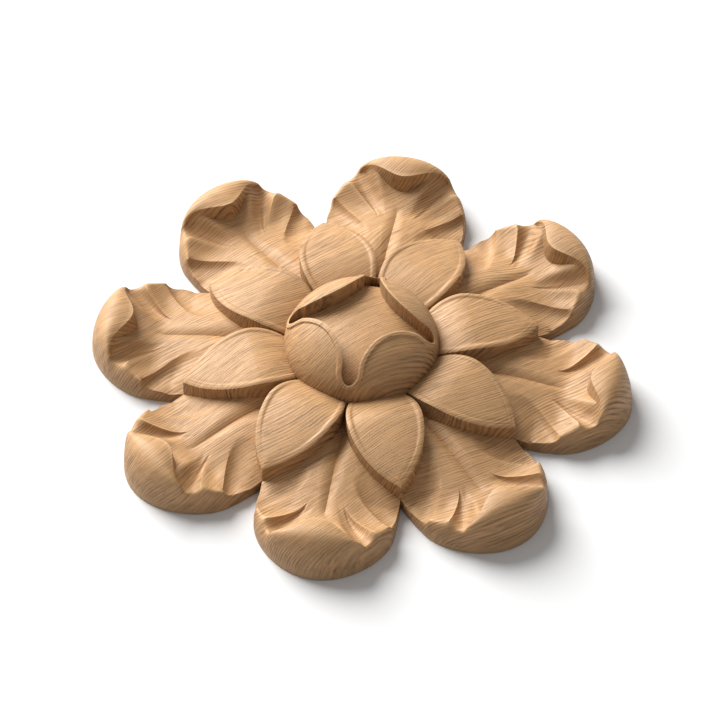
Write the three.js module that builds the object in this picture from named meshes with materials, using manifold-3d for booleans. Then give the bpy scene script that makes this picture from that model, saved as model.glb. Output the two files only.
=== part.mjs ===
// Carved wooden furniture rosette, 120 mm across, made from one round of wood.
// Origin at the centre of the flat back, +Z out of the back, one outer petal along +X.
// All sizes are in millimetres and all angles in degrees.
import * as THREE from 'three';
import { mergeVertices } from 'three/addons/utils/BufferGeometryUtils.js';
import Module from 'manifold-3d';

const { degToRad, lerp, clamp, smoothstep } = THREE.MathUtils;

// Overall
const rosetteRadius = 60;
const petalCount = 8;

// Outer petals: plan
const petalHalfWidth = 15.5;
const lipThickness = 9.1;
const notchReach = 9.3;
const notchSide = 10.3;
const firstCuspInset = 3.5;
const firstCuspAngle = 64.3;
const secondCuspInset = 1.3;
const secondCuspAngle = 82.4;
const shoulderInset = 0.3;
const shoulderBack = 1.7;
const cornerFlattening = 0.45;
const valleyRadius = 39.7;

// Outer petals: heights of the dished leaf and of the turned lip
const leafFloor = 4;
const heartRise = 4;
const heartRiseStart = 46;
const heartRiseLength = 22;
const heartRiseSoftness = 0.12;
const heartRisePower = 3;
const tipRise = 3.1;
const tipRiseStart = 36;
const tipRiseLength = 18;
const sideFall = 3.8;
const shoulderRise = 5.6;
const shoulderRiseStart = 40;
const shoulderRiseLength = 10;
const shoulderRisePower = 0.85;
const lipHeight = 10.2;
const lipSwell = 1.8;
const lipFadePower = 2.4;
const lipFadeRounding = 0.6;
const lipHorn = 6.8;
const lipRootRise = 1.2;
const lipRootStart = 0.8;
const lipRootSkew = 1.5;
const flankFullness = 0.8;
const lipWallSlant = 0.8;

// Outer petals: fan lines from the heart, each bent once on its way to the edge
const heartCover = 4;
const fanHeartAngles = [0, 1.5, 3.5, 6, 10];
const fanBendBacks = [6.3, 2.3, 2.6, 6.5, 11.1];
const fanBendSides = [0, 1.9, 1.6, 3.6, 6.3];
const lastBendBack = 19.3;

// Outer petals: vein and gouge cuts; places are fan lines, 0 at the lip and 5 at the neighbour
const veinStart = 20;
const veinEnd = 46;
const veinHalfWidth = 4.6;
const veinEndWidth = 1.6;
const veinDepth = 1.7;
const notchGouge = { start: 0.64, depth: 2, scoop: 1, steepSide: 'heart' };
const notchGougePlaces = { lip: 0.5, deepest: 1.15, heart: 2 };
const cuspGouge = { start: 0.7, depth: 0.35, scoop: 1.5, steepSide: 'none' };
const cuspGougePlaces = { lip: 2, deepest: 2.5, heart: 3 };
const spoonGouge = { start: 0.5, depth: 1, scoop: 1.5, steepSide: 'lip' };
const spoonGougePlaces = { lip: 3, deepest: 3.4, heart: 4.4 };
const steepPower = 2.2;

// Inner petals
const innerTipRadius = 39.8;
const innerWidestRadius = 24;
const innerHalfWidth = 8.3;
const innerWaistRadius = 15.6;
const innerTipHeight = 7.3;
const innerTopHeight = 12.2;
const innerDip = 20;
const innerFallPower = 1.35;
const innerWaistShare = 0.3;
const innerCrown = 0.7;
const innerFieldInset = 3.6;
const beadWidth = 1.5;
const coveWidth = 0.9;
const coveDepth = 0.45;
const edgeRound = 0.25;
const innerFoot = 1.5;

// Bud in the middle: four shell petals round a lower core
const budPetalCount = 4;
const budRadius = 17;
const budEquator = 10;
const budCap = 11.9;
const coreCap = 7.2;
const coreRadius = 16.1;
const footInset = 0.5;
const openingHalf = 8.2;
const openingCurve = 0.035;
const slotHalfWidth = 1.85;
const slotEnd = 14.1;
const cornerShare = 0.7;
const slotShare = 0.8;
const budBeadWidth = 1.3;
const budBeadHeight = 0.35;

// Values that follow from the sizes above
const sector = 360 / petalCount;
const halfSector = sector / 2;
const tipCentre = rosetteRadius - petalHalfWidth;
const lipReach = petalHalfWidth - lipThickness;
const notchAngle = THREE.MathUtils.radToDeg(Math.atan2(notchSide, notchReach));
const notchInset = petalHalfWidth - Math.hypot(notchReach, notchSide);
const heartRadius = budRadius - heartCover;
const lastBend = tipCentre - lastBendBack;
const budSector = 360 / budPetalCount;

// Height of the dished leaf before any gouge, x along the petal and y to its side
function dishHeight(x, y) {
  const toHeart = Math.max((heartRiseStart - x) / heartRiseLength, 0);
  const soft = Math.hypot(toHeart, heartRiseSoftness) - heartRiseSoftness;
  const spine = leafFloor + heartRise * (1 - Math.max(1 - soft, 0) ** heartRisePower);
  const toTip = Math.max((x - tipRiseStart) / tipRiseLength, 0);
  const toShoulder = clamp((x - shoulderRiseStart) / shoulderRiseLength, 0, 1);
  const across = Math.abs(y) / petalHalfWidth;
  const side = shoulderRise * toShoulder ** shoulderRisePower - sideFall;
  return spine + tipRise * toTip ** 2 + side * across ** 2;
}

// Depth of one gouge cut from its round inner end out over the rim; one side may stand steep
function gougeDepth(gouge, places, place, reach) {
  const share = clamp(((reach - gouge.start) / (1 - gouge.start)) * gouge.scoop, 0, 1);
  const grown = Math.sin((share * Math.PI) / 2);
  const toLip = clamp((places.deepest - place) / (places.deepest - places.lip), 0, 1);
  const toHeart = clamp((place - places.deepest) / (places.heart - places.deepest), 0, 1);
  let wall = 0;
  let slope = toLip + toHeart;
  if (gouge.steepSide !== 'none') {
    wall = gouge.steepSide === 'lip' ? toLip : toHeart;
    slope -= wall;
  }
  return gouge.depth * grown * (1 - wall ** steepPower) * (1 - slope ** 2) ** 2;
}

// Rise of the leaf towards the lip on both sides of its middle
function lipRoot(place, reach) {
  const beside = Math.sin(Math.PI * clamp(place, 0, 1) ** lipRootSkew) ** 2;
  return lipRootRise * beside * smoothstep((reach - lipRootStart) / (1 - lipRootStart), 0, 1);
}

// Depth of the vein, a groove that narrows and runs out towards the lip
function veinDepthAt(x, y) {
  const share = clamp((veinEnd - x) / (veinEnd - veinStart), 0, 1);
  const halfWidth = lerp(veinEndWidth, veinHalfWidth, share);
  return veinDepth * Math.sqrt(share) * clamp(1 - Math.abs(y) / halfWidth, 0, 1) ** 2;
}

// Height of the carved leaf; place is the fan line and reach the share of its length
function leafHeight(x, y, place, reach) {
  const cuts = gougeDepth(notchGouge, notchGougePlaces, place, reach)
    + gougeDepth(cuspGouge, cuspGougePlaces, place, reach)
    + gougeDepth(spoonGouge, spoonGougePlaces, place, reach);
  return dishHeight(x, y) - veinDepthAt(x, y) + lipRoot(place, reach) - cuts;
}

// Fan lines of half a petal at six stations, from the middle of the lip to the neighbour
const stations = {
  angle: [0, notchAngle, firstCuspAngle, secondCuspAngle],
  inset: [lipThickness, notchInset, firstCuspInset, secondCuspInset, shoulderInset, 0],
  heart: [...fanHeartAngles, halfSector],
  bendX: [...fanBendBacks.map((back) => tipCentre - back), lastBend],
  bendY: [...fanBendSides, lastBend * Math.tan(degToRad(halfSector))],
};

// Value at a place that may lie between two stations
function between(values, place) {
  const index = Math.min(Math.floor(place), values.length - 2);
  return lerp(values[index], values[index + 1], place - index);
}

// Point of the round end at an angle; it is flatter on both sides of the tip
function roundEnd(degrees, flattening) {
  const angle = degToRad(degrees);
  const radius = petalHalfWidth - flattening * Math.sin(2 * angle) ** 2;
  return [tipCentre + radius * Math.cos(angle), radius * Math.sin(angle)];
}

// Point of the outer outline, for a place from 0 (lip) to 5 (neighbour)
function outlinePoint(place, flattening) {
  if (place <= 3) {
    return roundEnd(between(stations.angle, place), flattening);
  }
  const cusp = roundEnd(secondCuspAngle, flattening);
  const shoulder = [tipCentre - shoulderBack, petalHalfWidth];
  const valley = degToRad(halfSector);
  const end = [valleyRadius * Math.cos(valley), valleyRadius * Math.sin(valley)];
  const from = place <= 4 ? cusp : shoulder;
  const to = place <= 4 ? shoulder : end;
  const share = place <= 4 ? place - 3 : place - 4;
  return [lerp(from[0], to[0], share), lerp(from[1], to[1], share)];
}

// Point of the crest in plan: the inner edge of the lip, then the rim of the leaf
function crestPoint(place) {
  if (place < 1) {
    const share = smoothstep(place, 0, 1);
    const horn = lipHorn * place ** 2 * (1 - place);
    return [tipCentre + lerp(lipReach, notchReach, share) + horn, notchSide * place];
  }
  const [x, y] = outlinePoint(place, 0);
  const inset = between(stations.inset, place);
  const away = new THREE.Vector2(x - tipCentre, y).normalize();
  const inward = place > 4 ? new THREE.Vector2(0, 1) : away;
  return [x - inset * inward.x, y - inset * inward.y];
}

// Share of the lip's height at a place on the crest
function lipShare(place) {
  return (1 - Math.min(place, 1) ** lipFadePower) ** lipFadeRounding;
}

// One fan line of the leaf, from the heart out to the foot of the lip or the rim
function leafPoint(place, reach) {
  const crest = crestPoint(place);
  const foot = [crest[0] - lipWallSlant * lipShare(place), crest[1]];
  const angle = degToRad(between(stations.heart, place));
  const start = new THREE.Vector2(heartRadius * Math.cos(angle), heartRadius * Math.sin(angle));
  const bend = new THREE.Vector2(between(stations.bendX, place), between(stations.bendY, place));
  const line = new THREE.CubicBezierCurve(start, bend, bend, new THREE.Vector2(foot[0], foot[1]));
  const point = line.getPoint(reach);
  return new THREE.Vector3(point.x, point.y, leafHeight(point.x, point.y, place, reach));
}

// One point of the rounded flank, turn 0 at the crest and 90 at the back
function flankPoint(place, turn) {
  const crest = crestPoint(place);
  const outline = outlinePoint(place, cornerFlattening);
  const rimHeight = leafPoint(Math.max(place, 1), 1).z;
  const crestHeight = rimHeight + (lipHeight - rimHeight) * lipShare(place);
  const swell = (lipSwell * Math.hypot(outline[0] - crest[0], outline[1] - crest[1])) / lipThickness;
  const angle = degToRad(turn);
  const out = Math.sin(angle) ** flankFullness;
  const up = turn === 90 ? 0 : Math.cos(angle) ** flankFullness;
  const z = crestHeight * up + swell * Math.sin(2 * angle) * up;
  return new THREE.Vector3(lerp(crest[0], outline[0], out), lerp(crest[1], outline[1], out), z);
}

// Closed ring of points: one half petal mirrored and turned round all petals
function petalRing(places, pointAt) {
  const ring = [];
  for (let petal = 0; petal < petalCount; petal += 1) {
    const turn = degToRad(petal * sector);
    for (let index = -places.length + 1; index < places.length - 1; index += 1) {
      const point = pointAt(places[Math.abs(index)]).clone();
      if (index < 0) {
        point.y = -point.y;
      }
      ring.push(point.applyAxisAngle(new THREE.Vector3(0, 0, 1), turn));
    }
  }
  return ring;
}

// Skin over rings of points, from the top middle down and out to the flat back
function skin(rings, top, bottom) {
  const positions = [];
  const count = rings[0].length;
  const triangle = (a, b, c) => {
    for (const point of [a, b, c]) {
      positions.push(point.x, point.y, point.z);
    }
  };
  for (let index = 0; index < count; index += 1) {
    const next = (index + 1) % count;
    if (top) {
      triangle(top, rings[0][index], rings[0][next]);
    }
    for (let level = 0; level < rings.length - 1; level += 1) {
      const [a, b] = [rings[level][index], rings[level][next]];
      const [c, d] = [rings[level + 1][index], rings[level + 1][next]];
      triangle(a, c, d);
      triangle(a, d, b);
    }
    triangle(bottom, rings.at(-1)[next], rings.at(-1)[index]);
  }
  const geometry = new THREE.BufferGeometry();
  geometry.setAttribute('position', new THREE.Float32BufferAttribute(positions, 3));
  return dropSlivers(mergeVertices(geometry, 1e-4));
}

// Triangles whose corners fell together leave the skin
function dropSlivers(geometry) {
  const kept = [];
  const index = geometry.index.array;
  for (let start = 0; start < index.length; start += 3) {
    const [a, b, c] = index.slice(start, start + 3);
    if (a !== b && b !== c && c !== a) {
      kept.push(a, b, c);
    }
  }
  geometry.setIndex(kept);
  return geometry;
}

// The eight outer petals and the ground that joins them
function outerPetals() {
  const places = [0, 0.25, 0.5, 0.75, 1, 1.5, 2, 2.5, 3, 3.25, 3.5, 3.75, 4, 4.5, 5];
  const reaches = [0, 0.2, 0.36, 0.5, 0.6, 0.7, 0.8, 0.9, 1];
  const turns = [0, 22, 45, 68, 90];
  const rings = reaches.map((reach) => petalRing(places, (place) => leafPoint(place, reach)));
  for (const turn of turns) {
    rings.push(petalRing(places, (place) => flankPoint(place, turn)));
  }
  for (let index = 0; index < rings[0].length; index += 1) {
    const place = places[Math.abs((index % (2 * places.length - 2)) - places.length + 1)];
    if (place >= 1) {
      rings[reaches.length - 1][index].copy(rings[reaches.length][index]);
    }
  }
  const top = new THREE.Vector3(0, 0, leafPoint(0, 0).z);
  return skin(rings, top, new THREE.Vector3(0, 0, 0));
}

// Outline of an inner petal moved in by an inset, share 0 at the heart and 1 at the tip
function innerOutline(inset, share) {
  const run = innerTipRadius - innerWidestRadius;
  const sideRadius = (run ** 2 + innerHalfWidth ** 2) / (2 * innerHalfWidth);
  const centreDrop = sideRadius - innerHalfWidth;
  const radius = sideRadius - inset;
  if (share < innerWaistShare) {
    const x = lerp(heartRadius, innerWidestRadius, share / innerWaistShare);
    return [x, innerHalfWidth - inset - (innerWidestRadius - x) ** 2 / (2 * innerWaistRadius)];
  }
  const tipAngle = Math.acos(centreDrop / radius);
  const angle = (tipAngle * (share - innerWaistShare)) / (1 - innerWaistShare);
  return [innerWidestRadius + radius * Math.sin(angle), radius * Math.cos(angle) - centreDrop];
}

// Height of an inner petal at a distance in from its edge
function innerHeight(x, y, inset) {
  const toTip = clamp((x - innerWidestRadius) / (innerTipRadius - innerWidestRadius), 0, 1);
  const toBud = Math.max(innerWidestRadius - x, 0) / innerWidestRadius;
  const fall = toTip ** innerFallPower;
  const edge = lerp(innerTopHeight, innerTipHeight, fall) - innerDip * toBud ** 2;
  const bead = -edgeRound * clamp(1 - inset / (beadWidth / 2), 0, 1) ** 2;
  const past = clamp((inset - beadWidth / 2) / coveWidth, 0, 1);
  const crown = innerCrown * clamp(1 - (y / innerHalfWidth) ** 2, 0, 1);
  return edge + bead - coveDepth * smoothstep(past, 0, 1) + crown * past;
}

// One inner petal along +X, an ogive with a bead round its edge
function innerPetal() {
  const insets = [innerFieldInset, beadWidth / 2 + coveWidth, beadWidth / 2, 0];
  const shares = [0, innerWaistShare / 2, innerWaistShare];
  const arcSteps = 5;
  for (let step = 1; step <= arcSteps; step += 1) {
    shares.push(lerp(innerWaistShare, 1, step / arcSteps));
  }
  const ringAt = (inset, pointAt) => {
    const left = shares.map((share) => pointAt(inset, share, 1));
    const right = shares.slice(0, -1).reverse().map((share) => pointAt(inset, share, -1));
    return [...left, ...right].reverse();
  };
  const topPoint = (inset, share, side) => {
    const [x, y] = innerOutline(inset, share);
    return new THREE.Vector3(x, side * Math.max(y, 0), innerHeight(x, y, inset));
  };
  const spinePoint = (inset, share) => {
    const [x] = innerOutline(inset, share);
    return new THREE.Vector3(x, 0, innerHeight(x, 0, inset));
  };
  const footPoint = (inset, share, side) => {
    const point = topPoint(inset, share, side);
    return point.setZ(innerFoot);
  };
  const rings = [ringAt(insets[0], spinePoint)];
  for (const inset of insets) {
    rings.push(ringAt(inset, topPoint));
  }
  rings.push(ringAt(0, footPoint));
  return skin(rings, null, new THREE.Vector3(innerWidestRadius, 0, innerFoot));
}

// Edge of the opening in plan, share 0 at the middle of a bud petal and 1 at the end of a slot
function openingEdge(share) {
  const half = degToRad(budSector / 2);
  const slot = new THREE.Vector2(Math.cos(half), Math.sin(half));
  const toPetal = new THREE.Vector2(slot.y, -slot.x);
  const slope = slot.x / slot.y;
  const gap = openingHalf - slotHalfWidth / slot.y;
  const cornerSide = (slope - Math.sqrt(slope ** 2 - 4 * openingCurve * gap)) / (2 * openingCurve);
  if (share < cornerShare) {
    const side = (cornerSide * share) / cornerShare;
    return new THREE.Vector2(openingHalf + openingCurve * side ** 2, side);
  }
  const corner = new THREE.Vector2(openingHalf + openingCurve * cornerSide ** 2, cornerSide);
  if (share < slotShare) {
    const end = slot.clone().multiplyScalar(slotEnd).addScaledVector(toPetal, slotHalfWidth);
    return corner.lerp(end, (share - cornerShare) / (slotShare - cornerShare));
  }
  const turn = ((share - slotShare) / (1 - slotShare)) * (Math.PI / 2);
  return slot.clone().multiplyScalar(slotEnd + slotHalfWidth * Math.sin(turn))
    .addScaledVector(toPetal, slotHalfWidth * Math.cos(turn));
}

// Height of the round shell and of the core inside it
function capHeight(x, y, radius, rise) {
  return budEquator + rise * Math.sqrt(Math.max(1 - (x ** 2 + y ** 2) / radius ** 2, 0));
}

// Point of the round shell over a point in plan
function shellPoint(flat) {
  return new THREE.Vector3(flat.x, flat.y, capHeight(flat.x, flat.y, budRadius, budCap));
}

// Point on the shell at a distance in from the edge of the opening, raised by a lift
function shellRow(share, distance, lift) {
  const step = 0.004;
  const here = shellPoint(openingEdge(share));
  const before = shellPoint(openingEdge(Math.max(share - step, 0)));
  const along = shellPoint(openingEdge(Math.min(share + step, 1))).sub(before).normalize();
  const centre = new THREE.Vector3(0, 0, budEquator);
  const spread = new THREE.Vector3(budRadius ** -2, budRadius ** -2, budCap ** -2);
  const outward = here.clone().sub(centre).multiply(spread).normalize();
  const into = along.clone().cross(outward);
  const moved = here.addScaledVector(into, distance).sub(centre);
  const scale = 1 / Math.sqrt(moved.clone().multiply(moved).dot(spread));
  return moved.multiplyScalar(scale).add(centre).addScaledVector(outward, lift);
}

// Point between the beaded edge and the widest ring of the bud
function shellField(share, down) {
  const start = shellRow(share, budBeadWidth, 0);
  const polar = Math.acos(clamp((start.z - budEquator) / budCap, 0, 1));
  const turn = lerp(Math.atan2(start.y, start.x), degToRad((budSector / 2) * share), down);
  const angle = lerp(polar, Math.PI / 2, down);
  const radius = budRadius * Math.sin(angle);
  const z = budEquator + budCap * Math.cos(angle);
  return new THREE.Vector3(radius * Math.cos(turn), radius * Math.sin(turn), z);
}

// The bud: core, steep wall of the opening, beaded edge and round shell
function bud() {
  const shares = [0, 0.17, 0.34, 0.5, 0.62, 0.72, 0.82, 0.91, 1];
  const axis = new THREE.Vector3(0, 0, 1);
  const ringAt = (pointAt) => {
    const ring = [];
    for (let petal = 0; petal < budPetalCount; petal += 1) {
      for (let index = -shares.length + 1; index < shares.length - 1; index += 1) {
        const point = pointAt(shares[Math.abs(index)]);
        point.y *= index < 0 ? -1 : 1;
        ring.push(point.applyAxisAngle(axis, degToRad((petal + 0.5) * budSector)));
      }
    }
    return ring;
  };
  const corePoint = (share, radius) => {
    const edge = openingEdge(share);
    const flat = edge.clone().setLength(Math.min(radius, edge.length()));
    return new THREE.Vector3(flat.x, flat.y, capHeight(flat.x, flat.y, coreRadius, coreCap));
  };
  const footPoint = (share) => {
    const turn = degToRad((budSector / 2) * share);
    const radius = budRadius - footInset;
    return new THREE.Vector3(radius * Math.cos(turn), radius * Math.sin(turn), innerFoot);
  };
  const rings = [
    ...[0.25, 0.5, 0.7, 0.85, 1].map((out) => ringAt((share) => corePoint(share, out * coreRadius))),
    ringAt((share) => shellRow(share, 0, budBeadHeight / 3)),
    ringAt((share) => shellRow(share, budBeadWidth / 2, budBeadHeight)),
    ...[0, 0.3, 0.6, 1].map((down) => ringAt((share) => shellField(share, down))),
    ringAt(footPoint),
  ];
  return skin(rings, corePoint(0, 0), new THREE.Vector3(0, 0, innerFoot));
}

const wasm = await Module();
wasm.setup();

// Closed solid inside a skin
function solid(geometry) {
  return new wasm.Manifold(new wasm.Mesh({
    numProp: 3,
    vertProperties: new Float32Array(geometry.attributes.position.array),
    triVerts: new Uint32Array(geometry.index.array),
  }));
}

// The outer petals, the bud and the inner petals joined into one body
function joined() {
  let whole = solid(outerPetals()).add(solid(bud()));
  for (let petal = 0; petal < petalCount; petal += 1) {
    const turned = innerPetal().rotateZ(degToRad((petal + 0.5) * sector));
    whole = whole.add(solid(turned));
  }
  const mesh = whole.getMesh();
  const geometry = new THREE.BufferGeometry();
  geometry.setAttribute('position', new THREE.BufferAttribute(mesh.vertProperties, 3));
  geometry.setIndex(new THREE.BufferAttribute(mesh.triVerts, 1));
  return geometry;
}

const wood = new THREE.MeshStandardMaterial({ color: 0xcda274, roughness: 0.62, metalness: 0 });
const rosette = new THREE.Mesh(joined(), wood);
rosette.name = 'rosette';

const part = new THREE.Group();
part.add(rosette);

export default part;
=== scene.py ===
import math

import bmesh
import bpy
import numpy as np
from bpy.props import FloatProperty, FloatVectorProperty, IntProperty, PointerProperty
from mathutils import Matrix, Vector


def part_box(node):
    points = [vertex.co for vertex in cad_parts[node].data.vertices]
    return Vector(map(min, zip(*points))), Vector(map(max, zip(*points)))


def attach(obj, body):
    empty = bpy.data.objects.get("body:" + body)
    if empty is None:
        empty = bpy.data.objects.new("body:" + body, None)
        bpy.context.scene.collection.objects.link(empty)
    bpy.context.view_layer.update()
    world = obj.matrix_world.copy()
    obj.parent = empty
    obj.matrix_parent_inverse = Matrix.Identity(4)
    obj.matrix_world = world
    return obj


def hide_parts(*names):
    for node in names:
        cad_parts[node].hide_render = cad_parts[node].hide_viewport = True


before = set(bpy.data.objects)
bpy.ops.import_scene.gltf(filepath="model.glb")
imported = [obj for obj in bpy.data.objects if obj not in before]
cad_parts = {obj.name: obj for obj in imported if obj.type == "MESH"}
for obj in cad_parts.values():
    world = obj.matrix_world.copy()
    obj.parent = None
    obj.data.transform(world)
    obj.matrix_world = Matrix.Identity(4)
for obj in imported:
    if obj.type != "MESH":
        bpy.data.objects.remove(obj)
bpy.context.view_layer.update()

bl_info = {
    "name": "Carved rosette",
    "version": (1, 0, 0),
    "blender": (4, 5, 0),
    "location": "3D View > Sidebar > Rosette",
    "description": "Carves a wooden furniture rosette and sets a plain stage for it",
    "category": "Add Mesh",
}

LOWEST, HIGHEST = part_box("rosette")
MM = 0.001

# Outer petals in plan, in millimetres and degrees
NOTCH_REACH = 9.3
NOTCH_SIDE = 10.3
FIRST_CUSP_INSET = 3.5
FIRST_CUSP_ANGLE = 64.3
SECOND_CUSP_INSET = 1.3
SECOND_CUSP_ANGLE = 82.4
SHOULDER_INSET = 0.3
SHOULDER_BACK = 1.7
CORNER_FLATTENING = 0.45
VALLEY_RADIUS = 39.7

# Heights of the dished leaf and shape of the lip
LEAF_FLOOR = 4.0
HEART_RISE = 4.0
HEART_RISE_START = 46.0
HEART_RISE_LENGTH = 22.0
HEART_RISE_SOFTNESS = 0.12
HEART_RISE_POWER = 3
TIP_RISE = 3.1
TIP_RISE_START = 36.0
TIP_RISE_LENGTH = 18.0
SIDE_FALL = 3.8
SHOULDER_RISE = 5.6
SHOULDER_RISE_START = 40.0
SHOULDER_RISE_LENGTH = 10.0
SHOULDER_RISE_POWER = 0.85
LIP_SWELL = 1.8
LIP_FADE_POWER = 2.4
LIP_FADE_ROUNDING = 0.6
LIP_HORN = 6.8
LIP_ROOT_RISE = 1.2
LIP_ROOT_START = 0.8
LIP_ROOT_SKEW = 1.5
FLANK_FULLNESS = 0.8
LIP_WALL_SLANT = 0.8

# Fan lines of half a petal, from the middle of the lip to the neighbour
HEART_COVER = 4.0
FAN_HEART_ANGLES = [0, 1.5, 3.5, 6, 10]
FAN_BEND_BACKS = [6.3, 2.3, 2.6, 6.5, 11.1]
FAN_BEND_SIDES = [0, 1.9, 1.6, 3.6, 6.3]
LAST_BEND_BACK = 19.3

# Vein, and the gouge cuts: places of the lip side, the deepest line and the heart side,
# start, depth, scoop and the side that stands steep
VEIN_START = 20.0
VEIN_END = 46.0
VEIN_HALF_WIDTH = 4.6
VEIN_END_WIDTH = 1.6
NOTCH_GOUGE = (0.5, 1.15, 2.0, 0.64, 2.0, 1.0, "heart side")
CUSP_GOUGE = (2.0, 2.5, 3.0, 0.7, 0.35, 1.5, "neither")
SPOON_GOUGE = (3.0, 3.4, 4.4, 0.5, 1.0, 1.5, "lip side")
STEEP_POWER = 2.2

# Inner petals
INNER_WIDEST_RADIUS = 24.0
INNER_WAIST_RADIUS = 15.6
INNER_TIP_HEIGHT = 7.3
INNER_TOP_HEIGHT = 12.2
INNER_DIP = 20.0
INNER_FALL_POWER = 1.35
INNER_WAIST_SHARE = 0.3
INNER_CROWN = 0.7
COVE_WIDTH = 0.9
EDGE_ROUND = 0.25
INNER_FOOT = 1.5

# Bud
BUD_PETALS = 4
BUD_EQUATOR = 10.0
BUD_CAP = 11.9
CORE_CAP = 7.2
CORE_RADIUS = 16.1
FOOT_INSET = 0.5
OPENING_HALF = 8.2
OPENING_CURVE = 0.035
SLOT_HALF_WIDTH = 1.85
SLOT_END = 14.1
CORNER_SHARE = 0.7
SLOT_SHARE = 0.8
BEAD_LIP = 0.4
BEAD_LEAN = 0.1
BEAD_LEAN_END = 0.6
BEAD_FALL_START = 0.75

# Rows and rings of the meshes, given as value, number of steps, value, and so on
PETAL_PLACES = (0, 16, 1, 10, 2, 9, 3, 10, 4, 9, 5)
PETAL_REACHES = (0, 6, 0.3, 30, 1)
FLANK_TURNS = (0, 4, 8, 16, 90)
INNER_SHARES = (0, 12, INNER_WAIST_SHARE, 34, 1)
INNER_SPINES = (0, 4, 1)
BUD_SHARES = (0, 26, CORNER_SHARE, 8, SLOT_SHARE, 12, 1)
CORE_RINGS = (0.08, 12, 1)
BUD_BEAD_RINGS = (0, 8, 1)
BUD_FIELD_RINGS = (0, 26, 1)

# Rings of an inner petal in from its edge: the field starts at the first inset, the rings are
# closer from the second, and the counts are those up to the second, the bead and the edge
FIELD_INSET = 3.6
COVE_INSET = 1.5
INNER_RING_COUNTS = (5, 8, 6)

# Rings on the two inner walls, as shares from their foot to their top
LIP_WALL_SHARES = (0.2, 0.45, 0.7, 0.9)
OPENING_WALL_SHARES = (0.25, 0.5, 0.75, 0.95)

# Points nearer than the first are one, edges shorter than the second are removed, and no edge
# counts as shorter than the third, in millimetres
SAME_POINT = 1e-4
NO_EDGE = 1e-5
SHORTEST_EDGE = 1e-6

# Step along the bud's opening that gives its direction, smoothing of the edge values, and
# degrees from which an edge is shaded as sharp
OPENING_STEP = 0.004
SMOOTHING_ROUNDS = 2
SMOOTHING_SHARE = 0.5
SHARP_ANGLE = 38

# Noise over the board, in millimetres along, across and up the grain: stretch, scale, detail
WANDER_NOISE = ((0.6, 1, 1), 0.055, 0.0)
STRENGTH_NOISE = ((0.4, 1, 1), 0.16, 1.0)
BOARD_NOISE = ((0.5, 1, 1), 0.045, 3.0)

# Fibres: stretch along and up the grain, then scale, detail and roughness of their noise;
# pores are dashes in the same directions, with a stretch, scale and detail of their own
FIBRE_ALONG = 0.03
FIBRE_UP = 0.08
FIBRE_NOISE = (2.6, 3.0, 0.75)
PORE_NOISE = ((9, 6, 6), 1.0, 1.0)

# Growth rings: how far they stray and lean, and where in each ring the late growth starts,
# is full, starts to fade and has gone
RING_WANDER = 5.5
RING_LEAN = 0.3
LATE_START = 0.4
LATE_FULL = 0.8
LATE_FADE = 0.88
LATE_GONE = 1.0

# A spread turns values from its first number to its second into shares from 0 to 1, or into
# its last two numbers. Tone is 0 where the wood is light and 1 where it is dark
STRENGTH_SPREAD = (0.35, 0.65, 0.35, 1.0)
FIBRE_SPREAD = (0.38, 0.64, 0.0, 0.44)
PORE_SPREAD = (0.58, 0.70)
BOARD_SPREAD = (0.3, 0.7, -0.07, 0.09)
LATE_TONE = 0.36
PORE_TONE = 0.24

# Painted shade on steep sides: steepness from the upward part of the normal, and how much
# darker their lines are painted; below a height in millimetres steep sides are painted darker as well
SHADED_STEEP_SPREAD = (0.75, 0.15)
STEEP_SHADE_TONE = 1.3
LOW_SHADE_SPREAD = (6.0, 0.0, 0.2, 0.45)

# Painted highlight on sharp edges and painted shade in hollows, from the edge values; hollows
# take this share of the dark wood
EDGE_HIGHLIGHT_SPREAD = (0.08, 0.45, 0.0, 0.75)
PAINTED_HOLLOW_SPREAD = (-0.12, -0.55, 0.0, 0.45)
HOLLOW_SHADE = 0.55

# Relief and sheen of the wood
FIBRE_RELIEF = 0.6
PORE_RELIEF = 0.5
LATE_RELIEF = 0.25
BUMP_STRENGTH = 0.6
BUMP_DISTANCE = 0.00013
LIGHT_SMOOTHER = 0.05
DARK_ROUGHER = 0.13
SPECULAR_LEVEL = 0.35

# Stage, in metres
FLOOR_REACH = 4.0
FLOOR_GAP = 0.0001
FLOOR_ROUGHNESS = 0.9
KEY_PLACE = (-0.87, 0.725, 0.826)
KEY_SIZE = 1.15
SKY_COLOUR = (1.0, 0.99, 0.98, 1)
CAMERA_PLACE = (0.2304, -1.2829, 1.4642)
CAMERA_AIM = (-0.0016, 0.0047, 0.0)
CAMERA_RANGE = (0.1, 20)
SENSOR_WIDTH = 36


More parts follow.
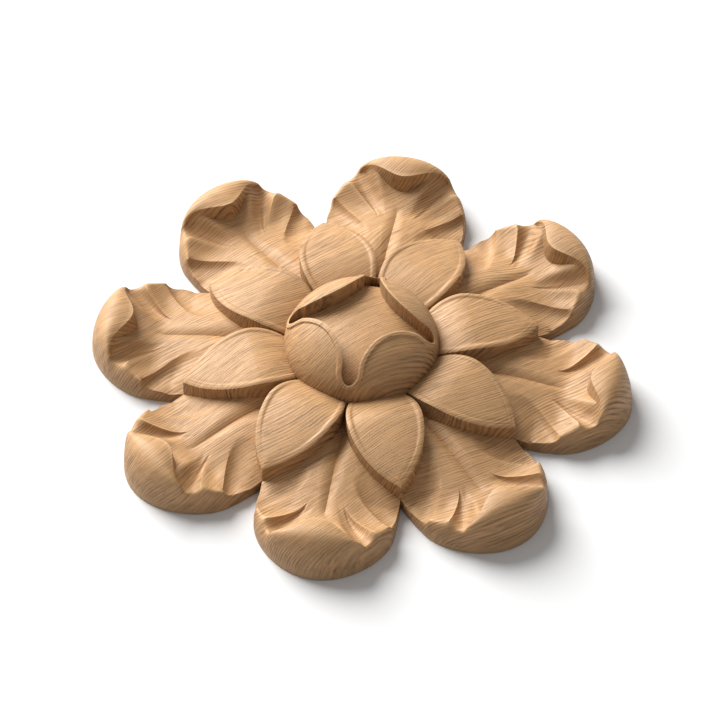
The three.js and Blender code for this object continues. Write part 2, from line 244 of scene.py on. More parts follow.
class RosetteSizes(bpy.types.PropertyGroup):
    radius: FloatProperty(
        name="Rosette radius", description="From the middle to the end of an outer petal",
        default=(HIGHEST.x - LOWEST.x) / 2, unit="LENGTH", min=0.02)
    petal_count: IntProperty(
        name="Petals", description="Outer petals, with as many inner ones between them",
        default=8, min=5, max=12)
    petal_half_width: FloatProperty(
        name="Petal half width", description="Half the width of an outer petal at its lip",
        default=0.0155, unit="LENGTH", min=0.005)
    lip_height: FloatProperty(
        name="Lip height", description="Height of the turned lip's inner edge over the back",
        default=0.0102, unit="LENGTH", min=0.004)
    lip_thickness: FloatProperty(
        name="Lip thickness", description="Lip in plan, from its inner edge to the end",
        default=0.0091, unit="LENGTH", min=0.002)
    vein_depth: FloatProperty(
        name="Vein depth", description="Depth of the groove down the middle of a petal",
        default=0.0017, unit="LENGTH", min=0.0)
    inner_tip_radius: FloatProperty(
        name="Inner petal reach", description="From the middle to the tip of an inner petal",
        default=0.0398, unit="LENGTH", min=0.01)
    inner_half_width: FloatProperty(
        name="Inner petal half width", description="Half the width of an inner petal",
        default=0.0083, unit="LENGTH", min=0.002)
    bead_width: FloatProperty(
        name="Bead width", description="Raised edge of an inner petal",
        default=0.0015, unit="LENGTH", min=0.0002)
    cove_depth: FloatProperty(
        name="Bead step", description="Depth of the step inside that raised edge",
        default=0.00045, unit="LENGTH", min=0.0)
    bud_radius: FloatProperty(
        name="Bud radius", description="Round bud in the middle",
        default=0.017, unit="LENGTH", min=0.005)
    bud_bead_width: FloatProperty(
        name="Bud bead width", description="Raised edge round the bud's opening",
        default=0.0013, unit="LENGTH", min=0.0002)
    bud_bead_height: FloatProperty(
        name="Bud bead height", description="Height of that raised edge",
        default=0.00035, unit="LENGTH", min=0.0)


class RosetteWood(bpy.types.PropertyGroup):
    light_wood: FloatVectorProperty(
        name="Light wood", description="Colour between the growth rings",
        default=(0.60, 0.342, 0.155), subtype="COLOR", min=0, max=1)
    dark_wood: FloatVectorProperty(
        name="Dark wood", description="Colour of the late growth in each ring",
        default=(0.158, 0.086, 0.039), subtype="COLOR", min=0, max=1)
    # Painted highlight: this colour is painted on the sharp convex edges
    edge_highlight_colour: FloatVectorProperty(
        name="Edge highlight", description="Colour of the sharp carved edges",
        default=(0.72, 0.48, 0.26), subtype="COLOR", min=0, max=1)
    grain_angle: FloatProperty(
        name="Grain direction", description="Direction of the grain from the first petal",
        default=math.radians(45), subtype="ANGLE")
    ring_spacing: FloatProperty(
        name="Ring spacing", description="Distance between growth rings",
        default=0.00065, unit="LENGTH", min=0.0003)
    roughness: FloatProperty(
        name="Roughness", description="Sheen of the sanded wood, 1 is dull",
        default=0.52, subtype="FACTOR", min=0, max=1)


class RosetteStage(bpy.types.PropertyGroup):
    floor_colour: FloatVectorProperty(
        name="Floor", description="Colour of the plain floor",
        default=(0.8, 0.8, 0.8), subtype="COLOR", min=0, max=1)
    key_power: FloatProperty(
        name="Key light", description="Power of the large light behind on the left",
        default=44.0, unit="POWER", min=0)
    sky_strength: FloatProperty(
        name="Soft light", description="Strength of the even light from all round",
        default=0.34, min=0)
    lens: FloatProperty(
        name="Lens", description="Focal length on a 36 mm sensor",
        default=449.1, unit="CAMERA", min=10)


def mix(start, end, share):
    return start + (end - start) * share


def ease(share):
    share = np.clip(share, 0, 1)
    return share * share * (3 - 2 * share)


def steps(*stops):
    """Values from stop to stop, given as value, count, value, count, value."""
    parts = [np.linspace(stops[i], stops[i + 2], stops[i + 1], endpoint=False)
             for i in range(0, len(stops) - 2, 2)]
    return np.concatenate([*parts, [stops[-1]]])


def turned(points, angle):
    """Points turned about the upright axis by an angle in radians."""
    cos, sin = math.cos(angle), math.sin(angle)
    x, y, z = points[..., 0], points[..., 1], points[..., 2]
    return np.stack([x * cos - y * sin, x * sin + y * cos, z], axis=-1)


class OuterPetal:
    """Outer petal along +X, in millimetres. A place runs from 0 at the lip to 5 at the neighbour."""

    def __init__(self, sizes):
        self.width = sizes.petal_half_width / MM
        self.lip_thickness = sizes.lip_thickness / MM
        self.lip_height = sizes.lip_height / MM
        self.vein_depth = sizes.vein_depth / MM
        self.half_sector = 180 / sizes.petal_count
        self.tip = sizes.radius / MM - self.width
        self.lip_reach = self.width - self.lip_thickness
        self.heart = sizes.bud_radius / MM - HEART_COVER
        self.slope = math.tan(math.radians(self.half_sector))
        notch_angle = math.degrees(math.atan2(NOTCH_SIDE, NOTCH_REACH))
        notch_inset = self.width - math.hypot(NOTCH_REACH, NOTCH_SIDE)
        last_bend = self.tip - LAST_BEND_BACK
        self.angles = [0, notch_angle, FIRST_CUSP_ANGLE, SECOND_CUSP_ANGLE]
        self.insets = [self.lip_thickness, notch_inset, FIRST_CUSP_INSET,
                       SECOND_CUSP_INSET, SHOULDER_INSET, 0]
        self.heart_angles = [*FAN_HEART_ANGLES, self.half_sector]
        self.bend_x = [*(self.tip - back for back in FAN_BEND_BACKS), last_bend]
        self.bend_y = [*FAN_BEND_SIDES, last_bend * self.slope]

    @staticmethod
    def between(values, place):
        return np.interp(place, np.arange(len(values)), values)

    def outline(self, place, flattening=0.0):
        """Outer edge; the back is a little flatter on both sides of the tip."""
        angle = np.radians(self.between(self.angles, place))
        radius = self.width - flattening * np.sin(2 * angle) ** 2
        x = self.tip + radius * np.cos(angle)
        y = radius * np.sin(angle)
        last = math.radians(SECOND_CUSP_ANGLE)
        last_radius = self.width - flattening * math.sin(2 * last) ** 2
        valley = math.radians(self.half_sector)
        side_x = [self.tip + last_radius * math.cos(last), self.tip - SHOULDER_BACK,
                  VALLEY_RADIUS * math.cos(valley)]
        side_y = [last_radius * math.sin(last), self.width, VALLEY_RADIUS * math.sin(valley)]
        on_side = place > 3
        x = np.where(on_side, np.interp(place, [3, 4, 5], side_x), x)
        y = np.where(on_side, np.interp(place, [3, 4, 5], side_y), y)
        return x, y

    def crest(self, place):
        """Inner edge of the lip, then the rim of the leaf."""
        x, y = self.outline(place)
        inset = self.between(self.insets, place)
        length = np.hypot(x - self.tip, y)
        past = place > 4
        away_x = np.where(past, 0, (x - self.tip) / length)
        away_y = np.where(past, 1, y / length)
        on_lip = place < 1
        horn = LIP_HORN * place ** 2 * (1 - place)
        lip_x = self.tip + mix(self.lip_reach, NOTCH_REACH, ease(place)) + horn
        crest_x = np.where(on_lip, lip_x, x - inset * away_x)
        crest_y = np.where(on_lip, NOTCH_SIDE * place, y - inset * away_y)
        return crest_x, crest_y

    @staticmethod
    def lip_share(place):
        return (1 - np.clip(place, 0, 1) ** LIP_FADE_POWER) ** LIP_FADE_ROUNDING

    def dish(self, x, y):
        """Height of the dished leaf with its vein, before the gouges."""
        share = np.maximum((HEART_RISE_START - x) / HEART_RISE_LENGTH, 0)
        soft = np.sqrt(share ** 2 + HEART_RISE_SOFTNESS ** 2) - HEART_RISE_SOFTNESS
        spine = LEAF_FLOOR + HEART_RISE * (1 - np.maximum(1 - soft, 0) ** HEART_RISE_POWER)
        to_tip = np.maximum((x - TIP_RISE_START) / TIP_RISE_LENGTH, 0)
        to_shoulder = np.clip((x - SHOULDER_RISE_START) / SHOULDER_RISE_LENGTH, 0, 1)
        side = SHOULDER_RISE * to_shoulder ** SHOULDER_RISE_POWER - SIDE_FALL
        across = np.abs(y) / self.width
        share = np.clip((VEIN_END - x) / (VEIN_END - VEIN_START), 0, 1)
        half_width = mix(VEIN_END_WIDTH, VEIN_HALF_WIDTH, share)
        vein = self.vein_depth * np.sqrt(share) * np.clip(1 - np.abs(y) / half_width, 0, 1) ** 2
        return spine + TIP_RISE * to_tip ** 2 + side * across ** 2 - vein

    @staticmethod
    def gouge(cut, place, reach):
        lip_side, hollow_shade_colour, heart_side, start, depth, scoop, steep = cut
        grown = math.sin(np.clip((reach - start) / (1 - start) * scoop, 0, 1) * math.pi / 2)
        to_lip = np.clip((hollow_shade_colour - place) / (hollow_shade_colour - lip_side), 0, 1)
        to_heart = np.clip((place - hollow_shade_colour) / (heart_side - hollow_shade_colour), 0, 1)
        wall, slope = (to_lip, to_heart) if steep == "lip side" else (to_heart, to_lip)
        if steep == "neither":
            wall, slope = 0, to_lip + to_heart
        return depth * grown * (1 - wall ** STEEP_POWER) * (1 - slope ** 2) ** 2

    @staticmethod
    def lip_root(place, reach):
        """Rise of the leaf towards the lip on both sides of its middle."""
        beside = np.sin(math.pi * np.clip(place, 0, 1) ** LIP_ROOT_SKEW) ** 2
        return LIP_ROOT_RISE * beside * ease((reach - LIP_ROOT_START) / (1 - LIP_ROOT_START))

    def leaf(self, place, reach):
        """Points of the leaf for a row of places, at one reach from the heart to the edge."""
        crest_x, crest_y = self.crest(place)
        foot = np.stack([crest_x - LIP_WALL_SLANT * self.lip_share(place), crest_y], -1)
        angle = np.radians(self.between(self.heart_angles, place))
        start = np.stack([self.heart * np.cos(angle), self.heart * np.sin(angle)], -1)
        bend = np.stack([self.between(self.bend_x, place), self.between(self.bend_y, place)], -1)
        rest = 1 - reach
        flat = rest ** 3 * start + 3 * rest * reach * bend + reach ** 3 * foot
        x, y = flat[:, 0], flat[:, 1]
        z = self.dish(x, y) + self.lip_root(place, reach)
        for cut in (NOTCH_GOUGE, CUSP_GOUGE, SPOON_GOUGE):
            z = z - self.gouge(cut, place, reach)
        return np.stack([x, y, z], -1)

    def flank(self, place, turn):
        """Points of the rounded flank, turn 0 at the crest and 90 at the back."""
        crest_x, crest_y = self.crest(place)
        out_x, out_y = self.outline(place, CORNER_FLATTENING)
        rim = self.leaf(np.maximum(place, 1), 1.0)[:, 2]
        height = rim + (self.lip_height - rim) * self.lip_share(place)
        swell = LIP_SWELL * np.hypot(out_x - crest_x, out_y - crest_y) / self.lip_thickness
        angle = math.radians(turn)
        out = math.sin(angle) ** FLANK_FULLNESS
        up = 0.0 if turn == 90 else math.cos(angle) ** FLANK_FULLNESS
        z = height * up + swell * math.sin(2 * angle) * up
        return np.stack([mix(crest_x, out_x, out), mix(crest_y, out_y, out), z], -1)

    def wall(self, place, share):
        """Points of the lip's inner wall, from the leaf up to the crest."""
        return mix(self.leaf(place, 1.0), self.flank(place, 0), share)


def mirrored(half):
    return half * np.array([1, -1, 1])


def petal_ring(half, count, first=0.0):
    """Closed ring from one half petal, mirrored and turned round; first is where it starts, in petals."""
    whole = np.concatenate([mirrored(half)[:0:-1], half[:-1]])
    return np.concatenate([turned(whole, 2 * math.pi * (i + first) / count) for i in range(count)])


def skin(name, rings, top, bottom):
    """Closed mesh over rings of points, in millimetres, from the top down to the flat back."""
    count = len(rings[0])
    points = np.concatenate([*rings, [top if top is not None else rings[0][0]], [bottom]])
    faces = []
    for i in range(count):
        j = (i + 1) % count
        if top is not None:
            faces.append((len(points) - 2, i, j))
        for level in range(len(rings) - 1):
            a, b = level * count + i, level * count + j
            faces.append((a, a + count, b + count))
            faces.append((a, b + count, b))
        last = (len(rings) - 1) * count
        faces.append((len(points) - 1, last + j, last + i))
    mesh = bpy.data.meshes.new(name)
    mesh.from_pydata(points.tolist(), [], faces)
    welded = bmesh.new()
    welded.from_mesh(mesh)
    bmesh.ops.remove_doubles(welded, verts=welded.verts, dist=SAME_POINT)
    bmesh.ops.dissolve_degenerate(welded, edges=welded.edges, dist=NO_EDGE)
    welded.to_mesh(mesh)
    welded.free()
    return mesh


def outer_petals(sizes):
    petal = OuterPetal(sizes)
    count = sizes.petal_count
    places = steps(*PETAL_PLACES)
    rings = [petal_ring(petal.leaf(places, reach), count) for reach in steps(*PETAL_REACHES)]
    for share in LIP_WALL_SHARES:
        rings.append(petal_ring(petal.wall(places, share), count))
    for turn in steps(*FLANK_TURNS):
        rings.append(petal_ring(petal.flank(places, turn), count))
    top = petal.leaf(np.array([0.0]), 0.0)[0] * np.array([0, 0, 1])
    return skin("outer_petals", rings, top, (0, 0, 0))


class InnerPetal:
    """Inner petal along +X, in millimetres, an ogive with a raised edge."""

    def __init__(self, sizes):
        self.tip = sizes.inner_tip_radius / MM
        self.half_width = sizes.inner_half_width / MM
        self.bead = sizes.bead_width / MM
        self.step = sizes.cove_depth / MM
        self.heart = sizes.bud_radius / MM - HEART_COVER
        run = self.tip - INNER_WIDEST_RADIUS
        self.side_radius = (run ** 2 + self.half_width ** 2) / (2 * self.half_width)

    def outline(self, inset, share):
        """Edge moved in by an inset, share 0 at the heart and 1 at the tip."""
        radius = self.side_radius - inset
        drop = self.side_radius - self.half_width
        to_waist = np.clip(share / INNER_WAIST_SHARE, 0, 1)
        waist_x = mix(self.heart, INNER_WIDEST_RADIUS, to_waist)
        pull_in = (INNER_WIDEST_RADIUS - waist_x) ** 2 / (2 * INNER_WAIST_RADIUS)
        waist_y = self.half_width - inset - pull_in
        past = np.clip((share - INNER_WAIST_SHARE) / (1 - INNER_WAIST_SHARE), 0, 1)
        angle = math.acos(drop / radius) * past
        on_waist = share < INNER_WAIST_SHARE
        x = np.where(on_waist, waist_x, INNER_WIDEST_RADIUS + radius * np.sin(angle))
        y = np.where(on_waist, waist_y, radius * np.cos(angle) - drop)
        return x, np.maximum(y, 0)

    def height(self, x, y, inset):
        to_tip = np.clip((x - INNER_WIDEST_RADIUS) / (self.tip - INNER_WIDEST_RADIUS), 0, 1)
        to_bud = np.maximum(INNER_WIDEST_RADIUS - x, 0) / INNER_WIDEST_RADIUS
        fall = mix(INNER_TOP_HEIGHT, INNER_TIP_HEIGHT, to_tip ** INNER_FALL_POWER)
        edge = fall - INNER_DIP * to_bud ** 2
        rounding = -EDGE_ROUND * np.clip(1 - inset / (self.bead / 2), 0, 1) ** 2
        past = np.clip((inset - self.bead / 2) / COVE_WIDTH, 0, 1)
        crown = INNER_CROWN * np.clip(1 - (y / self.half_width) ** 2, 0, 1)
        return edge + rounding - self.step * ease(past) + crown * past

    def points(self, inset, share, spine=1.0):
        """Points at one inset; spine moves them in towards the middle line."""
        x, y = self.outline(inset, share)
        y = y * spine
        return np.stack([x, y, self.height(x, y, inset)], -1)


def inner_petal(sizes):
    petal = InnerPetal(sizes)
    shares = steps(*INNER_SHARES)

    def ring(half):
        return np.concatenate([half, mirrored(half)[-2::-1]])[::-1]

    rings = [ring(petal.points(FIELD_INSET, shares, spine)) for spine in steps(*INNER_SPINES)]
    to_cove, to_bead, to_edge = INNER_RING_COUNTS
    for inset in steps(FIELD_INSET, to_cove, COVE_INSET, to_bead, petal.bead / 2, to_edge, 0)[1:]:
        rings.append(ring(petal.points(inset, shares)))
    foot = petal.points(0, shares)
    foot[:, 2] = INNER_FOOT
    rings.append(ring(foot))
    return skin("inner_petal", rings, None, (INNER_WIDEST_RADIUS, 0, INNER_FOOT))


class Bud:
    """Bud petal along +X, in millimetres; share 0 is its middle and 1 the end of a slot."""

    def __init__(self, sizes):
        self.radius = sizes.bud_radius / MM
        self.bead = sizes.bud_bead_width / MM
        self.bead_height = sizes.bud_bead_height / MM
        self.half = math.pi / BUD_PETALS
        self.spread = np.array([self.radius ** -2, self.radius ** -2, BUD_CAP ** -2])
        self.centre = np.array([0, 0, BUD_EQUATOR])

    def opening(self, share):
        """Edge of the opening in plan."""
        slot = np.array([math.cos(self.half), math.sin(self.half)])
        to_petal = np.array([slot[1], -slot[0]])
        slope = slot[0] / slot[1]
        gap = OPENING_HALF - SLOT_HALF_WIDTH / slot[1]
        corner = (slope - math.sqrt(slope ** 2 - 4 * OPENING_CURVE * gap)) / (2 * OPENING_CURVE)
        side = corner * np.clip(share / CORNER_SHARE, 0, 1)
        edge = np.stack([OPENING_HALF + OPENING_CURVE * side ** 2, side], -1)
        along = np.clip((share - CORNER_SHARE) / (SLOT_SHARE - CORNER_SHARE), 0, 1)[:, None]
        straight = mix(edge, slot * SLOT_END + to_petal * SLOT_HALF_WIDTH, along)
        turn = np.clip((share - SLOT_SHARE) / (1 - SLOT_SHARE), 0, 1)[:, None] * math.pi / 2
        beyond = slot * (SLOT_END + SLOT_HALF_WIDTH * np.sin(turn))
        end = beyond + to_petal * SLOT_HALF_WIDTH * np.cos(turn)
        return np.where((share < SLOT_SHARE)[:, None], straight, end)

    @staticmethod
    def cap(flat, radius, rise):
        inside = np.maximum(1 - (flat ** 2).sum(-1) / radius ** 2, 0)
        return np.concatenate([flat, (BUD_EQUATOR + rise * np.sqrt(inside))[:, None]], -1)

    def core(self, share, radius):
        edge = self.opening(share)
        length = np.linalg.norm(edge, axis=-1, keepdims=True)
        flat = edge / length * np.minimum(radius, length)
        return self.cap(flat, CORE_RADIUS, CORE_CAP)

    def shell(self, share, distance, lift):
        """Points on the shell at a distance in from the opening's edge, raised by a lift."""
        here, before, after = (
            self.cap(self.opening(np.clip(place, 0, 1)), self.radius, BUD_CAP)
            for place in (share, share - OPENING_STEP, share + OPENING_STEP))
        along = after - before
        along /= np.linalg.norm(along, axis=-1, keepdims=True)
        outward = (here - self.centre) * self.spread
        outward /= np.linalg.norm(outward, axis=-1, keepdims=True)
        moved = here + np.cross(along, outward) * distance - self.centre
        scale = 1 / np.sqrt((moved ** 2 * self.spread).sum(-1, keepdims=True))
        return moved * scale + self.centre + outward * lift

    def field(self, share, down):
        """Points between the bead and the widest ring."""
        start = self.shell(share, self.bead, 0)
        polar = np.arccos(np.clip((start[:, 2] - BUD_EQUATOR) / BUD_CAP, 0, 1))
        turn = mix(np.arctan2(start[:, 1], start[:, 0]), self.half * share, down)
        angle = mix(polar, math.pi / 2, down)
        radius = self.radius * np.sin(angle)
        z = BUD_EQUATOR + BUD_CAP * np.cos(angle)
        return np.stack([radius * np.cos(turn), radius * np.sin(turn), z], -1)

    @staticmethod
    def bead_rise(across):
        """Rise of the bead as a share of its height, across 0 at the opening and 1 at the field."""
        if across >= BEAD_FALL_START:
            return (1 - across) / (1 - BEAD_FALL_START)
        lean = min(across + BEAD_LEAN, BEAD_LEAN_END)
        return BEAD_LIP + (1 - BEAD_LIP) * math.sin(math.pi * lean)

    def foot(self, share):
        turn, radius = self.half * share, self.radius - FOOT_INSET
        z = np.full(len(share), INNER_FOOT)
        return np.stack([radius * np.cos(turn), radius * np.sin(turn), z], -1)


def bud_mesh(sizes):
    bud = Bud(sizes)
    shares = steps(*BUD_SHARES)

    def ring(half):
        """Ring round the bud, whose petals point half-way between the axes."""
        return petal_ring(half, BUD_PETALS, 0.5)

    rings = [ring(bud.core(shares, out * CORE_RADIUS)) for out in steps(*CORE_RINGS)]
    opening = bud.core(shares, CORE_RADIUS)
    top_edge = bud.shell(shares, 0, bud.bead_height * BEAD_LIP)
    for up in OPENING_WALL_SHARES:
        rings.append(ring(mix(opening, top_edge, up)))
    for across in steps(*BUD_BEAD_RINGS):
        lift = bud.bead_height * bud.bead_rise(across)
        rings.append(ring(bud.shell(shares, bud.bead * across, lift)))
    for down in steps(*BUD_FIELD_RINGS)[1:]:
        rings.append(ring(bud.field(shares, down)))
    rings.append(ring(bud.foot(shares)))
    top = (0, 0, BUD_EQUATOR + CORE_CAP)
    return skin("bud", rings, top, (0, 0, INNER_FOOT))


def vertex_values(mesh, name):
    """A vector of each point of a mesh, such as its place or its normal."""
    values = np.empty(len(mesh.vertices) * 3)
    mesh.vertices.foreach_get(name, values)
    return values.reshape(-1, 3)


def edge_sharpness(mesh):
    """For each point, how far it stands out as an edge (above 0) or lies in a corner (below 0)."""
    count = len(mesh.vertices)
    points, normals = vertex_values(mesh, "co"), vertex_values(mesh, "normal")
    pairs = np.empty(len(mesh.edges) * 2, int)
    mesh.edges.foreach_get("vertices", pairs)
    a, b = pairs.reshape(-1, 2).T
    apart = points[b] - points[a]
    length = np.maximum(np.linalg.norm(apart, axis=1), SHORTEST_EDGE)
    bend = ((normals[b] - normals[a]) * apart).sum(1) / length
    edges = np.maximum(np.bincount(a, minlength=count) + np.bincount(b, minlength=count), 1)
    sharp = (np.bincount(a, bend, count) + np.bincount(b, bend, count)) / edges
    for _ in range(SMOOTHING_ROUNDS):
        near = np.bincount(a, sharp[b], count) + np.bincount(b, sharp[a], count)
        sharp = mix(sharp, near / edges, SMOOTHING_SHARE)
    return sharp


class Nodes:
    """Short way to lay nodes out and join them."""

    def __init__(self, material):
        material.use_nodes = True
        self.tree = material.node_tree
        self.tree.nodes.clear()

    def add(self, kind, inputs=None, **settings):
        node = self.tree.nodes.new(kind)
        for name, value in settings.items():
            setattr(node, name, value)
        for name, value in (inputs or {}).items():
            if isinstance(value, bpy.types.NodeSocket):
                self.tree.links.new(value, node.inputs[name])
            else:
                node.inputs[name].default_value = value
        return node

    def calculate(self, operation, first, second):
        return self.add("ShaderNodeMath", {0: first, 1: second}, operation=operation).outputs[0]

    def spread(self, value, low, high, to_low=0.0, to_high=1.0):
        node = self.add("ShaderNodeMapRange", {
            "Value": value, "From Min": low, "From Max": high, "To Min": to_low, "To Max": to_high})
        return node.outputs["Result"]

    def blend(self, factor, first, second):
        """Mix of two colours, which are inputs 6 and 7 and output 2 of the node."""
        node = self.add("ShaderNodeMix", {0: factor, 6: first, 7: second}, data_type="RGBA")
        return node.outputs[2]

    def stretch(self, vector, scale):
        return self.add("ShaderNodeMapping", {"Vector": vector, "Scale": scale}).outputs["Vector"]

    def noise(self, vector, scale, detail, roughness=0.5):
        return self.add("ShaderNodeTexNoise", {
            "Vector": vector, "Scale": scale, "Detail": detail, "Roughness": roughness}).outputs["Fac"]

    def surface(self, inputs):
        """Principled surface with these inputs, as the material's output."""
        shader = self.add("ShaderNodeBsdfPrincipled", inputs)
        output = self.add("ShaderNodeOutputMaterial")
        self.tree.links.new(shader.outputs["BSDF"], output.inputs["Surface"])


def wood_material(wood):
    material = bpy.data.materials.new("wood")
    nodes = Nodes(material)
    place = nodes.add("ShaderNodeTexCoord").outputs
    grain = nodes.add("ShaderNodeMapping", {
        "Vector": place["Object"], "Rotation": (0, 0, -wood.grain_angle),
        "Scale": (1 / MM, 1 / MM, 1 / MM)}).outputs["Vector"]
    split = nodes.add("ShaderNodeSeparateXYZ", {"Vector": grain}).outputs
    along, across, up = split["X"], split["Y"], split["Z"]

    def stretched_noise(vector, stretch, scale, detail):
        return nodes.noise(nodes.stretch(vector, stretch), scale, detail)

    # Growth rings stand nearly upright and wander along the board
    wander_noise = stretched_noise(grain, *WANDER_NOISE)
    wander = nodes.spread(wander_noise, 0.0, 1.0, -RING_WANDER, RING_WANDER)
    leaning = nodes.calculate("ADD", across, nodes.calculate("MULTIPLY", up, RING_LEAN))
    ring_place = nodes.calculate("ADD", leaning, wander)
    turns = nodes.calculate("DIVIDE", ring_place, wood.ring_spacing / MM)
    ring = nodes.calculate("FRACT", turns, 0.0)
    rise = nodes.spread(ring, LATE_START, LATE_FULL)
    fall = nodes.spread(ring, LATE_GONE, LATE_FADE)
    strength = nodes.spread(stretched_noise(grain, *STRENGTH_NOISE), *STRENGTH_SPREAD)
    late = nodes.calculate("MULTIPLY", nodes.calculate("MULTIPLY", rise, fall), strength)

    # Fine fibres follow the rings; pores are short dark dashes
    warped = nodes.add("ShaderNodeCombineXYZ", {
        "X": nodes.calculate("MULTIPLY", along, FIBRE_ALONG), "Y": ring_place,
        "Z": nodes.calculate("MULTIPLY", up, FIBRE_UP)}).outputs["Vector"]
    fibre = nodes.noise(warped, *FIBRE_NOISE)
    pores = nodes.spread(stretched_noise(warped, *PORE_NOISE), *PORE_SPREAD)

    # Painted shade on steep sides, from the upward part of the normal: their lines are painted stronger,
    # and low down their colour darker
    upward = nodes.add("ShaderNodeSeparateXYZ", {"Vector": place["Normal"]}).outputs["Z"]
    steep = nodes.spread(upward, *SHADED_STEEP_SPREAD)

    fibre_tone = nodes.spread(fibre, *FIBRE_SPREAD)
    tone = nodes.calculate("ADD", nodes.calculate("MULTIPLY", late, LATE_TONE), fibre_tone)
    tone = nodes.calculate("ADD", tone, nodes.calculate("MULTIPLY", pores, PORE_TONE))
    # Painted shade: lines on steep sides are painted darker
    tone = nodes.calculate("MULTIPLY", tone, nodes.spread(steep, 0.0, 1.0, 1.0, STEEP_SHADE_TONE))
    board = nodes.spread(stretched_noise(grain, *BOARD_NOISE), *BOARD_SPREAD)
    tone = nodes.calculate("ADD", tone, board)

    light, dark, painted_edge_highlight = (
        (*colour, 1) for colour in (wood.light_wood, wood.dark_wood, wood.edge_highlight_colour))
    # Painted shade colour for hollows, a share of the dark wood
    hollow_shade_colour = (*(channel * HOLLOW_SHADE for channel in wood.dark_wood), 1)
    colour = nodes.blend(nodes.spread(tone, 0.0, 1.0), light, dark)
    # Painted highlight on sharp edges and painted shade in hollows, both from the edge values
    edge = nodes.add("ShaderNodeAttribute", attribute_name="edge").outputs["Fac"]
    colour = nodes.blend(nodes.spread(edge, *EDGE_HIGHLIGHT_SPREAD), colour, painted_edge_highlight)
    colour = nodes.blend(nodes.spread(edge, *PAINTED_HOLLOW_SPREAD), colour, hollow_shade_colour)
    # Painted shade: steep sides are painted towards the dark wood, more so below the given height
    foot = nodes.spread(up, *LOW_SHADE_SPREAD)
    colour = nodes.blend(nodes.calculate("MULTIPLY", steep, foot), colour, dark)

    # Fibres, pores and late growth lie a little lower than the rest
    relief = nodes.calculate("SUBTRACT", nodes.calculate("MULTIPLY", fibre, -FIBRE_RELIEF),
                             nodes.calculate("MULTIPLY", pores, PORE_RELIEF))
    relief = nodes.calculate("SUBTRACT", relief, nodes.calculate("MULTIPLY", late, LATE_RELIEF))
    bump = nodes.add("ShaderNodeBump", {
        "Height": relief, "Strength": BUMP_STRENGTH, "Distance": BUMP_DISTANCE})
    smoothest, roughest = wood.roughness - LIGHT_SMOOTHER, wood.roughness + DARK_ROUGHER
    nodes.surface({
        "Base Color": colour, "Roughness": nodes.spread(tone, 0.0, 1.0, smoothest, roughest),
        "Normal": bump.outputs["Normal"], "Specular IOR Level": SPECULAR_LEVEL})
    return material


def joined(meshes):
    """One closed mesh from overlapping closed ones."""
    pieces = []
    for mesh in meshes:
        piece = bpy.data.objects.new(mesh.name, mesh)
        bpy.context.scene.collection.objects.link(piece)
        pieces.append(piece)
    first = pieces[0]
    for piece in pieces[1:]:
        union = first.modifiers.new(piece.name, "BOOLEAN")
        union.operation, union.object, union.solver = "UNION", piece, "MANIFOLD"
    view = bpy.context.evaluated_depsgraph_get()
    whole = bpy.data.meshes.new_from_object(first.evaluated_get(view))
    for piece in pieces:
        bpy.data.objects.remove(piece)
    return whole


class ROSETTE_OT_carve(bpy.types.Operator):
    """Carve the rosette from one board: outer petals, inner petals and bud"""
    bl_idname = "rosette.carve"
    bl_label = "Carve the rosette"

    def execute(self, context):
        sizes, wood = context.scene.rosette_sizes, context.scene.rosette_wood
        meshes = [outer_petals(sizes), bud_mesh(sizes)]
        turns = (np.arange(sizes.petal_count) + 0.5) * 2 * math.pi / sizes.petal_count
        petal = inner_petal(sizes)
        for turn in turns:
            copy = petal.copy()
            copy.vertices.foreach_set("co", turned(vertex_values(copy, "co"), turn).ravel())
            meshes.append(copy)
        mesh = joined(meshes)
        if not mesh.polygons:
            raise RuntimeError("the carved forms did not join")
        sharpness = mesh.attributes.new("edge", "FLOAT", "POINT")
        sharpness.data.foreach_set("value", edge_sharpness(mesh).astype(np.float32))
        mesh.vertices.foreach_set("co", (vertex_values(mesh, "co") * MM).ravel())
        mesh.polygons.foreach_set("use_smooth", [True] * len(mesh.polygons))
        mesh.set_sharp_from_angle(angle=math.radians(SHARP_ANGLE))
        mesh.materials.clear()
        mesh.materials.append(wood_material(wood))
        piece = bpy.data.objects.new("carved_rosette", mesh)
        context.scene.collection.objects.link(piece)
        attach(piece, "root")
        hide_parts("rosette")
        return {"FINISHED"}


def plain_material(name, colour, roughness):
    material = bpy.data.materials.new(name)
    Nodes(material).surface({"Base Color": (*colour, 1), "Roughness": roughness})
    return material


def area_light(name, position, aim, size, power):
    light = bpy.data.lights.new(name, "AREA")
    light.shape, light.size, light.energy = "DISK", size, power
    lamp = bpy.data.objects.new(name, light)
    lamp.location = position
    lamp.rotation_euler = (Vector(aim) - Vector(position)).to_track_quat("-Z", "Y").to_euler()
    bpy.context.scene.collection.objects.link(lamp)


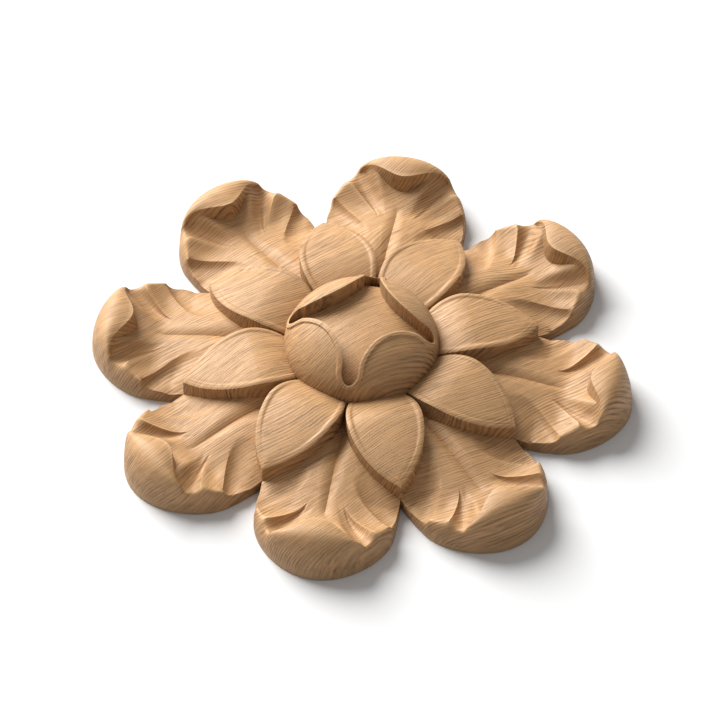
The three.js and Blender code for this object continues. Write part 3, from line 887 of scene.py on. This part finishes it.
class ROSETTE_OT_stage(bpy.types.Operator):
    """Lay the pale floor and set the lights and the camera"""
    bl_idname = "rosette.stage"
    bl_label = "Set the stage"

    def execute(self, context):
        stage, scene = context.scene.rosette_stage, context.scene
        floor_mesh = bpy.data.meshes.new("floor")
        signs = ((-1, -1), (1, -1), (1, 1), (-1, 1))
        corners = [(FLOOR_REACH * x, FLOOR_REACH * y, 0) for x, y in signs]
        floor_mesh.from_pydata(corners, [], [(0, 1, 2, 3)])
        floor_mesh.materials.append(plain_material("floor", stage.floor_colour, FLOOR_ROUGHNESS))
        floor = bpy.data.objects.new("floor", floor_mesh)
        floor.location.z = LOWEST.z - FLOOR_GAP
        scene.collection.objects.link(floor)

        area_light("key", KEY_PLACE, (0, 0, 0), KEY_SIZE, stage.key_power)

        world = bpy.data.worlds.new("soft_light")
        scene.world = world
        world.use_nodes = True
        background = world.node_tree.nodes["Background"]
        background.inputs["Color"].default_value = SKY_COLOUR
        background.inputs["Strength"].default_value = stage.sky_strength

        camera_data = bpy.data.cameras.new("camera")
        camera_data.lens, camera_data.sensor_width = stage.lens, SENSOR_WIDTH
        camera_data.clip_start, camera_data.clip_end = CAMERA_RANGE
        camera = bpy.data.objects.new("camera", camera_data)
        camera.location = CAMERA_PLACE
        view = Vector(CAMERA_AIM) - camera.location
        camera.rotation_euler = view.to_track_quat("-Z", "Y").to_euler()
        scene.collection.objects.link(camera)
        scene.camera = camera
        scene.view_settings.view_transform = "Standard"
        return {"FINISHED"}


class ROSETTE_PT_panel(bpy.types.Panel):
    """Sizes, wood and stage of the rosette"""
    bl_idname = "ROSETTE_PT_panel"
    bl_label = "Rosette"
    bl_space_type = "VIEW_3D"
    bl_region_type = "UI"
    bl_category = "Rosette"

    def draw(self, context):
        scene = context.scene
        for group in (scene.rosette_sizes, scene.rosette_wood, scene.rosette_stage):
            box = self.layout.box()
            for name in group.__annotations__:
                box.prop(group, name)
        self.layout.operator("rosette.carve")
        self.layout.operator("rosette.stage")


CLASSES = (
    RosetteSizes, RosetteWood, RosetteStage, ROSETTE_OT_carve, ROSETTE_OT_stage, ROSETTE_PT_panel)


def register():
    for kind in CLASSES:
        bpy.utils.register_class(kind)
    bpy.types.Scene.rosette_sizes = PointerProperty(type=RosetteSizes)
    bpy.types.Scene.rosette_wood = PointerProperty(type=RosetteWood)
    bpy.types.Scene.rosette_stage = PointerProperty(type=RosetteStage)


def unregister():
    del bpy.types.Scene.rosette_stage
    del bpy.types.Scene.rosette_wood
    del bpy.types.Scene.rosette_sizes
    for kind in reversed(CLASSES):
        bpy.utils.unregister_class(kind)


def main():
    register()
    bpy.ops.rosette.carve()
    bpy.ops.rosette.stage()


if __name__ == "__main__":
    main()
